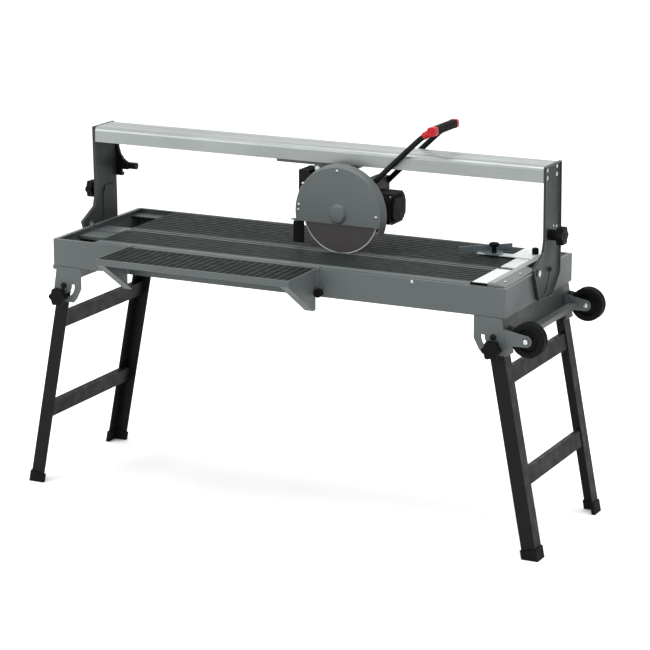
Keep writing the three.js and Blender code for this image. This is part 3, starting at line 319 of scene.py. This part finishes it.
def brushed(colour, along, lines=900, rough=(0.26, 0.42)):
    """Drawn metal with fine lines along one axis and a soft change of tone."""
    stretch = [1, 1, 1]
    stretch["xyz".index(along)] = 0.02

    def build(surface):
        line = noise(surface, lines, 3, stretch)
        tone = ramp(surface, noise(surface, 4, 3), 0, 1)
        toned = blend_colours(surface, tone, [c * 0.92 for c in colour], [min(1, c * 1.06) for c in colour])
        fine = ramp(surface, line, 0, 0.3)
        coat(surface, blend_colours(surface, fine, toned, [c * 0.7 for c in colour]),
             ramp(surface, line, *rough))
        bump(surface, line, 0.06, 0.0003)
    return build


def graduated(surface):
    """Drawn metal with a dark line cut across it every 5 mm."""
    brushed(shade(88, 92, 92), "y")(surface)
    plain = surface.shader.inputs["Base Color"].links[0].from_socket
    half_pitch = 0.0025
    pitch = worked(surface, "PINGPONG", along_axis(surface, "Y"), half_pitch)
    line = ramp(surface, pitch, 1, 0, 0.0002, 0.0006)
    dark = blend_colours(surface, line, plain, shade(30, 33, 33))
    surface.links.new(dark, surface.shader.inputs["Base Color"])


aluminium = finish("aluminium", brushed(shade(196, 200, 200), "y"), Metallic=0.3)
ruled = finish("aluminium_ruled", graduated, Metallic=0.2)
bar_metal = finish("aluminium_bar", brushed(shade(120, 125, 124), "y"), Metallic=0.4)
ruler_low, ruler_high = corners("fence_ruler")
bar_from = ruler_low.x + 0.052
bar_to = bar_from + 0.024
strip_top = ruler_low.z + 0.002
kept_shape("ruler_bars", "fence_ruler", "bed", (aluminium, ruled, bar_metal), edge=0.0005,
           faces=lambda c: 0 if c.x < bar_from or c.z < strip_top else 1 if c.x > bar_to else 2)

# ---- Screws and bolts ------------------------------------------------------------------
# Zinc-plated button heads, each with a round socket sunk into its crown. Two hold the ruler,
# and the others stand on the bed's front and rear walls.


def zinc(surface):
    """Bright plating with a little mottling."""
    tone = noise(surface, 180, 4)
    coat(surface, blend_colours(surface, tone, shade(150, 153, 154), shade(205, 207, 208)),
         ramp(surface, tone, 0.24, 0.42))
    bump(surface, noise(surface, 700, 2), 0.08, 0.0002)


zinc_plate = finish("zinc_plate", zinc, Metallic=0.95)


def turned_mesh(mesh, profile, count, matrix, close=True):
    """Adds a surface of revolution: profile is (radius, height) pairs about the matrix's Z."""
    turns = [2 * math.pi * i / count for i in range(count)]
    rings = [[mesh.verts.new(matrix @ Vector((radius * math.cos(a), radius * math.sin(a), height)))
              for a in (turns if radius > 0 else turns[:1])] for radius, height in profile]
    for low, high in zip(rings, rings[1:] + rings[:1] if close else rings[1:]):
        for i in range(count):
            j = (i + 1) % count
            around = [low[i % len(low)], low[j % len(low)], high[j % len(high)], high[i % len(high)]]
            mesh.faces.new(list(dict.fromkeys(around)))


def piece_from(name, mesh, material, body):
    """Turns a finished bmesh into a piece of the saw that rides on a body."""
    smooth_angle = math.radians(35)
    bmesh.ops.recalc_face_normals(mesh, faces=mesh.faces)
    data = bpy.data.meshes.new(name)
    mesh.to_mesh(data)
    mesh.free()
    data.materials.append(material)
    data.shade_smooth()
    data.set_sharp_from_angle(angle=smooth_angle)
    piece = bpy.data.objects.new(name, data)
    bpy.context.scene.collection.objects.link(piece)
    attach(piece, body)
    return piece


def facing(place, outward):
    """A matrix at a place whose Z points outwards."""
    return Matrix.Translation(place) @ Vector(outward).to_track_quat("Z", "Y").to_matrix().to_4x4()


def button_head(mesh, place, outward, radius, height):
    """A domed head with a round socket, standing on a face."""
    matrix = facing(place, outward)
    crown = [(radius * math.cos(a), height * (0.25 + 0.75 * math.sin(a)))
             for a in (math.radians(step) for step in (0, 22, 44, 62))]
    socket = radius * 0.42
    hollow = [(socket, height), (socket * 0.94, height * 0.45), (0, height * 0.4)]
    turned_mesh(mesh, [(0, 0), (radius, 0), *crown, *hollow], 24, matrix, close=False)


def screws(name, places, outward, radius, height, body):
    """A row of button heads as one piece."""
    mesh = bmesh.new()
    for place in places:
        button_head(mesh, place, outward, radius, height)
    piece_from(name, mesh, zinc_plate, body)


ruler_seat = ruler_low.z + 0.0068
screws("ruler_screws", [Vector((ruler_high.x - 0.014, bed_mid.y + y, ruler_seat)) for y in (-0.2, -0.087)],
       (0, 0, 1), 0.0045, 0.0022, "bed")
screws("bed_front_screw", [from_bed(459, -260, 787)], (0, -1, 0), 0.005, 0.0028, "bed")
screws("bed_rear_screws", [from_bed(x, 260, 787) for x in (459, -640)], (0, 1, 0), 0.005, 0.0028, "bed")

# ---- Leg brackets and wheel frame ------------------------------------------------------
# Each bracket is pressed steel with an arc slot for the locking knob, in the bed's paint. The
# plate that ties each pair is painted in a darker grey, as painted shade under the bed. The wheel
# frame is two pairs of arms and a cross tube.
# A darker copy of the grey paint for the tie plate: painted shade, where the plate lies under the bed.
tie_plate_shaded_paint = finish("tie_plate_painted_shade", powder_coat(shade(32, 37, 37), shade(27, 31, 31), 0.5))
tie_half = 0.15
for side in ("left", "right"):
    kept_shape(f"leg_brackets_{side}_pressing", f"leg_brackets_{side}", "bed",
               (grey_paint, tie_plate_shaded_paint), faces=lambda c: 1 if abs(c.y - bed_mid.y) < tie_half else 0)
kept_shape("wheel_frame_arms", "wheel_frame", "bed", (grey_paint, grey_edge))
screws("axle_caps", [from_bed(814, y, 650) for y in (-267.2, 210.8)], (0, -1, 0), 0.007, 0.0022, "bed")

# ---- Bridge ----------------------------------------------------------------------------
# Two folded end posts in a darker grey carry an extruded aluminium rail. The posts turn on
# bright pivot bolts, and stays in the same grey hold them in their arc slots for mitre cuts.
# A black hook on the left post takes the mains lead.
post_paint = finish("post_paint", powder_coat(shade(43, 48, 47), shade(38, 43, 42)), Specular_IOR_Level=0.12)
rail_metal = finish("rail_aluminium", brushed(shade(134, 139, 138), "x", 700, (0.3, 0.42)), Metallic=0.6)
rail_low = corners("rail")[0]
web_thick = 0.003
for side in ("left", "right"):
    kept_shape(f"post_{side}_pressing", f"post_{side}", "bridge", (post_paint, grey_edge))
    kept_shape(f"pivot_bolt_{side}", f"tilt_pivot_{side}", "bridge", (zinc_plate,),
               edge=0.0005)
    kept_shape(f"stay_{side}", f"tilt_stay_{side}", "bed", (post_paint,), edge=0.0004)
    post_low, post_high = corners(f"post_{side}")
    out = 1 if side == "right" else -1
    web_x = (post_low.x + web_thick) if side == "right" else (post_high.x - web_thick)
    screws(f"rail_screws_{side}",
           [Vector((web_x, rail_low.y + y, rail_low.z + z)) for y in (0.02, 0.096) for z in (0.012, 0.036)],
           (out, 0, 0), 0.0065, 0.0035, "bridge")
screws("post_screws", [from_bed(756.8, y, z) for y, z in ((80.2, 913.6), (105.9, 908.6))], (1, 0, 0),
       0.0042, 0.0024, "bridge")
kept_shape("rail_extrusion", "rail", "bridge", (rail_metal,), edge=0.0012, segments=3,
           sharp=18.0)


def cast_black(colour, grain, rough):
    """Black paint or moulded plastic with a fine grain and a few paler scuffs."""
    def build(surface):
        drift = noise(surface, 6, 3)
        deep, pale = (shade(*[c * part for c in colour]) for part in (0.85, 1.15))
        toned = blend_colours(surface, drift, deep, pale)
        scuff = ramp(surface, noise(surface, 55, 6), 0, 0.12, 0.66, 0.85)
        coat(surface, blend_colours(surface, scuff, toned, shade(40, 41, 41)),
             ramp(surface, noise(surface, 30, 5), *rough))
        bump(surface, noise(surface, grain, 2), 0.16, 0.0004)
    return build


black_paint = finish("black_paint", cast_black((13, 13, 14), 380, (0.42, 0.56)), Specular_IOR_Level=0.1)
black_edge = finish("black_paint_edge", rubbed_edge(shade(18, 19, 19), shade(44, 46, 46)),
                    Specular_IOR_Level=0.2)
moulded = finish("black_plastic", cast_black((11, 11, 12), 700, (0.5, 0.66)), Specular_IOR_Level=0.06)
kept_shape("cable_hook_casting", "cable_hook", "bridge", (black_paint, black_edge),
           edge=0.0012)

# ---- Star knobs ------------------------------------------------------------------------
# Moulded black knobs with six lobes on a steel screw: two lock the tilt and four lock the
# legs. Each has a small round cap of the same plastic pressed into its crown.
cap_profile = [(0, -0.001), (0.009, -0.001), (0.009, 0.0006), (0.0078, 0.0012), (0, 0.0009)]
for name in ("tilt_knob_left", "tilt_knob_right", "leg_knob_front_left", "leg_knob_rear_left",
             "leg_knob_front_right", "leg_knob_rear_right"):
    body = name.replace("knob", "lock")
    kept_shape(name + "_moulding", name, body, (moulded,), edge=0.0024, segments=4,
               sharp=50.0)
    low, high = corners(name)
    middle = (low + high) / 2
    if name.startswith("tilt"):
        outward = (1, 0, 0) if "right" in name else (-1, 0, 0)
        crown_at = Vector((high.x if "right" in name else low.x, middle.y, middle.z))
    else:
        outward = (0, -1, 0) if "front" in name else (0, 1, 0)
        crown_at = Vector((middle.x, low.y if "front" in name else high.y, middle.z))
    cap = bmesh.new()
    turned_mesh(cap, cap_profile, 28, facing(crown_at, outward), close=False)
    piece_from(name + "_cap", cap, moulded, body)

# ---- Carriage and head -----------------------------------------------------------------
# The carriage runs inside the rail on four rollers, and the head hangs from it on a pin. A
# black cast arm carries the motor, with the blade guard in front and the switch box beside.
kept_shape("carriage_block", "carriage_frame", "carriage", (grey_paint, grey_edge))
for node, body in (("rail_rollers_left", "rollers_a"), ("rail_rollers_right", "rollers_b")):
    kept_shape(node + "_turned", node, body, (zinc_plate,), edge=0.0006)
kept_shape("plunge_pin_turned", "plunge_pin", "head", (zinc_plate,), edge=0.0004)
kept_shape("head_arm", "head_frame", "head", (black_paint, black_edge), edge=0.001)
kept_shape("motor_casting", "motor_housing", "head", (black_paint, black_edge), edge=0.001)
kept_shape("switch_box_shell", "switch_box", "head", (moulded,), edge=0.0022, segments=3)
kept_shape("switch_box_lid", "switch_lid", "head", (moulded,), edge=0.0016, segments=3)
guard_paint = finish("guard_paint", powder_coat(shade(77, 82, 82), shade(68, 73, 73), 0.36),
                     Specular_IOR_Level=0.22)
kept_shape("guard_pressing", "guard_shell", "head", (guard_paint, grey_edge), edge=0.0008,
           sharp=40.0)
kept_shape("guard_cover_pressing", "guard_cover", "head", (guard_paint, grey_edge), edge=0.0006,
           sharp=40.0)
guard_holes = ((121.5, 1045.4), (8.2, 998.7), (-6.1, 933.2), (-7.5, 917.4), (249.7, 916.3))
screws("guard_screws", [from_bed(x, -60, z) for x, z in guard_holes], (0, -1, 0), 0.0045, 0.0026, "head")
lid_low, lid_high = corners("switch_lid")
inset = 0.005
lid_corners = [Vector((lid_low.x + inset, y, z)) for y in (lid_low.y + inset, lid_high.y - inset)
               for z in (lid_low.z + inset, lid_high.z - inset)]
screws("switch_lid_screws", lid_corners, (1, 0, 0), 0.0028, 0.0016, "head")


def soft_rubber(surface):
    """Matt black rubber with a fine grain."""
    tone = noise(surface, 20, 4)
    coat(surface, blend_colours(surface, tone, shade(9, 9, 10), shade(13, 14, 14)),
         ramp(surface, noise(surface, 60), 0.62, 0.82))
    bump(surface, noise(surface, 900, 2), 0.2, 0.0003)


rubber = finish("rubber", soft_rubber, Specular_IOR_Level=0.08)
kept_shape("splash_flap_sheet", "splash_flap", "head", (rubber,), edge=0.0008)
stator_core = finish("stator_core", brushed(shade(122, 96, 66), "y", 500), Metallic=0.6)
kept_shape("stator_pack", "stator", "head", (stator_core,))
kept_shape("rotor_turned", "rotor_shaft", "spindle", (zinc_plate,), edge=0.0004)
kept_shape("clamp_flange_turned", "clamp_flange", "spindle", (zinc_plate,), edge=0.0006)

# ---- Handle ----------------------------------------------------------------------------
# Two black steel bars rise on either side of the rail to a rubber grip with red end caps. The
# switch rocker is moulded in the same red.


def glossy_red(surface):
    """Red moulded plastic with a soft shine."""
    tone = noise(surface, 14, 3)
    coat(surface, blend_colours(surface, tone, shade(142, 20, 24), shade(156, 26, 30)),
         ramp(surface, noise(surface, 80), 0.28, 0.42))
    bump(surface, noise(surface, 500, 2), 0.06, 0.0003)


red_plastic = finish("red_plastic", glossy_red, Specular_IOR_Level=0.15)
kept_shape("handle_bars", "handle_frame", "head", (black_paint,), edge=0.001, sharp=50.0)
for end, edge in (("front", 0.0018), ("rear", 0.0014)):
    kept_shape(f"grip_{end}_cap", f"grip_cap_{end}", "head", (red_plastic,), edge=edge,
               segments=3, sharp=50.0)
kept_shape("switch_rocker_key", "switch_rocker", "rocker", (red_plastic,), edge=0.0012,
           segments=3)
kept_shape("grip_core", "grip", "head", (rubber,), edge=0.0008, sharp=50.0)

# ---- Blade -----------------------------------------------------------------------------
# A steel disc with a sintered diamond rim. The disc is ground in fine rings, and the rim is
# a little thicker, paler and rougher than the disc.
blade_low, blade_high = corners("blade")
blade_mid = (blade_low + blade_high) / 2
blade_radius = (blade_high.x - blade_low.x) / 2
rim_width = 0.0035
bore_radius = 0.0127


def ground_disc(surface):
    """Steel ground in fine rings about the middle of the blade."""
    offset = surface.nodes.new("ShaderNodeVectorMath")
    offset.operation = "SUBTRACT"
    offset.inputs[1].default_value = blade_mid
    surface.links.new(surface.where, offset.inputs[0])
    apart = surface.nodes.new("ShaderNodeVectorMath")
    apart.operation = "LENGTH"
    surface.links.new(offset.outputs[0], apart.inputs[0])
    ring = surface.nodes.new("ShaderNodeTexNoise")
    ring.noise_dimensions = "1D"
    ring.inputs["Scale"].default_value = 1600
    surface.links.new(apart.outputs["Value"], ring.inputs["W"])
    tone = ramp(surface, ring.outputs["Fac"], 0, 1)
    coat(surface, blend_colours(surface, tone, shade(60, 57, 57), shade(72, 69, 69)),
         ramp(surface, ring.outputs["Fac"], 0.3, 0.45))
    bump(surface, ring.outputs["Fac"], 0.05, 0.0002)


def diamond_rim(surface):
    """Grey sintered metal with coarse grit."""
    grit = noise(surface, 1400, 3)
    coat(surface, blend_colours(surface, grit, shade(130, 130, 128), shade(196, 196, 194)),
         ramp(surface, grit, 0.5, 0.75))
    bump(surface, grit, 0.4, 0.0004)


disc_steel = finish("blade_steel", ground_disc, Metallic=0.4)
rim_grit = finish("diamond_rim", diamond_rim, Metallic=0.4)
half = (blade_high.y - blade_low.y) / 2
disc_half = half * 0.8
inner = blade_radius - rim_width
shoulder_radius = blade_radius - 0.0004
across = facing(blade_mid, (0, 1, 0))
core = bmesh.new()
turned_mesh(core, [(bore_radius, -disc_half), (inner, -disc_half), (inner, disc_half),
                   (bore_radius, disc_half)], 120, across)
disc = piece_from("blade_disc", core, disc_steel, "spindle")
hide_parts("blade")
rim = bmesh.new()
turned_mesh(rim, [(inner, -half), (shoulder_radius, -half), (blade_radius, -half * 0.6),
                  (blade_radius, half * 0.6), (shoulder_radius, half), (inner, half)], 120, across)
piece_from("blade_rim", rim, rim_grit, "spindle")

# ---- Legs ------------------------------------------------------------------------------
# Two frames of black angle iron with two cross bars, each foot in a rubber cap. They fold
# in under the bed about their top bolts.
foot_height = 0.0455
for side in ("left", "right"):
    kept_shape(f"leg_{side}_angle_iron", f"leg_frame_{side}", f"leg_{side}",
               (black_paint, rubber), edge=0.0012, faces=lambda c: 1 if c.z < foot_height else 0)

# ---- Wheels ----------------------------------------------------------------------------
# Transport wheels with a solid rubber tyre on a moulded hub, which turn on plain axles. A
# shallow groove runs round the middle of the tread.
for end in ("front", "rear"):
    low, high = corners(f"wheel_{end}")
    middle = (low + high) / 2
    radius = (high.x - low.x) / 2
    width = (high.y - low.y) / 2
    turn = facing(middle, (0, 1, 0))
    tyre_mesh = bmesh.new()
    round_off = 0.006
    shoulder = [(radius - round_off + round_off * math.sin(a), width - 0.009 + round_off * math.cos(a))
                for a in (math.radians(step) for step in range(0, 91, 15))]
    groove_floor = radius - 0.0012
    tread = [(radius, 0.006), (groove_floor, 0.005), (groove_floor, -0.005), (radius, -0.006)]
    seat = radius - 0.016
    profile = [(seat, width - 0.004), *shoulder, *tread,
               *[(out, -along) for out, along in reversed(shoulder)], (seat, -width + 0.004)]
    turned_mesh(tyre_mesh, profile, 72, turn)
    tyre = piece_from(f"tyre_{end}", tyre_mesh, rubber, f"{end}_wheel")
    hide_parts(f"wheel_{end}")
    hub_mesh = bmesh.new()
    hub_rim = radius - 0.0162
    hub_side = [(0.0065, width), (0.015, width), (0.017, width - 0.008), (0.03, width - 0.01),
                (0.0335, width - 0.004), (hub_rim, width - 0.004)]
    turned_mesh(hub_mesh, [*[(out, -along) for out, along in hub_side], *reversed(hub_side)], 60, turn)
    piece_from(f"hub_{end}", hub_mesh, moulded, f"{end}_wheel")

# ---- Side table ------------------------------------------------------------------------
# A ribbed plate in a painted frame. It hooks over the bed's front rim and slides along it,
# and a small round knob on the right locks it.
# The side plate's ribs take darker tones than the table plates' ribs: painted shade.
side_shaded_grey = finish("side_ribbed_plate_painted_shade", ribbed_plate([], shade(20, 24, 23), shade(25, 29, 28)),
                   Specular_IOR_Level=0.06)
kept_shape("side_frame_pressing", "side_table_frame", "side_table", (grey_paint, grey_edge))
kept_shape("side_plate", "side_table_top", "side_table", (side_shaded_grey,), edge=0.0003,
           segments=1)
kept_shape("side_knob_moulding", "side_knob", "side_lock", (moulded,), edge=0.0016,
           segments=3, sharp=40.0)

# ---- Angle guide -----------------------------------------------------------------------
# A flat aluminium base slides on the ruler and carries a blued steel blade that turns. One
# black knob locks the blade and a round one clamps the base.
blued = finish("guide_steel", brushed(shade(112, 124, 129), "z", 500), Metallic=0.6)
kept_shape("guide_base_plate", "guide_base", "guide", (aluminium,), edge=0.0004)
kept_shape("guide_bar_folded", "guide_blade", "guide_bar", (blued,), edge=0.0005)
kept_shape("guide_knob_moulding", "guide_knob", "guide_lock", (moulded,), edge=0.0016,
           segments=3, sharp=40.0)
kept_shape("guide_clamp_moulding", "guide_clamp", "guide_clamp_lock", (moulded,),
           edge=0.0014, segments=3, sharp=40.0)

# ---- Pump and ruler cap ----------------------------------------------------------------
# The water pump stands in the tray at the open end. It and the ruler's end cap are black
# mouldings.
kept_shape("pump_moulding", "water_pump", "bed", (moulded,), edge=0.002, segments=3)
kept_shape("ruler_cap", "fence_cap", "bed", (moulded,), edge=0.0012)
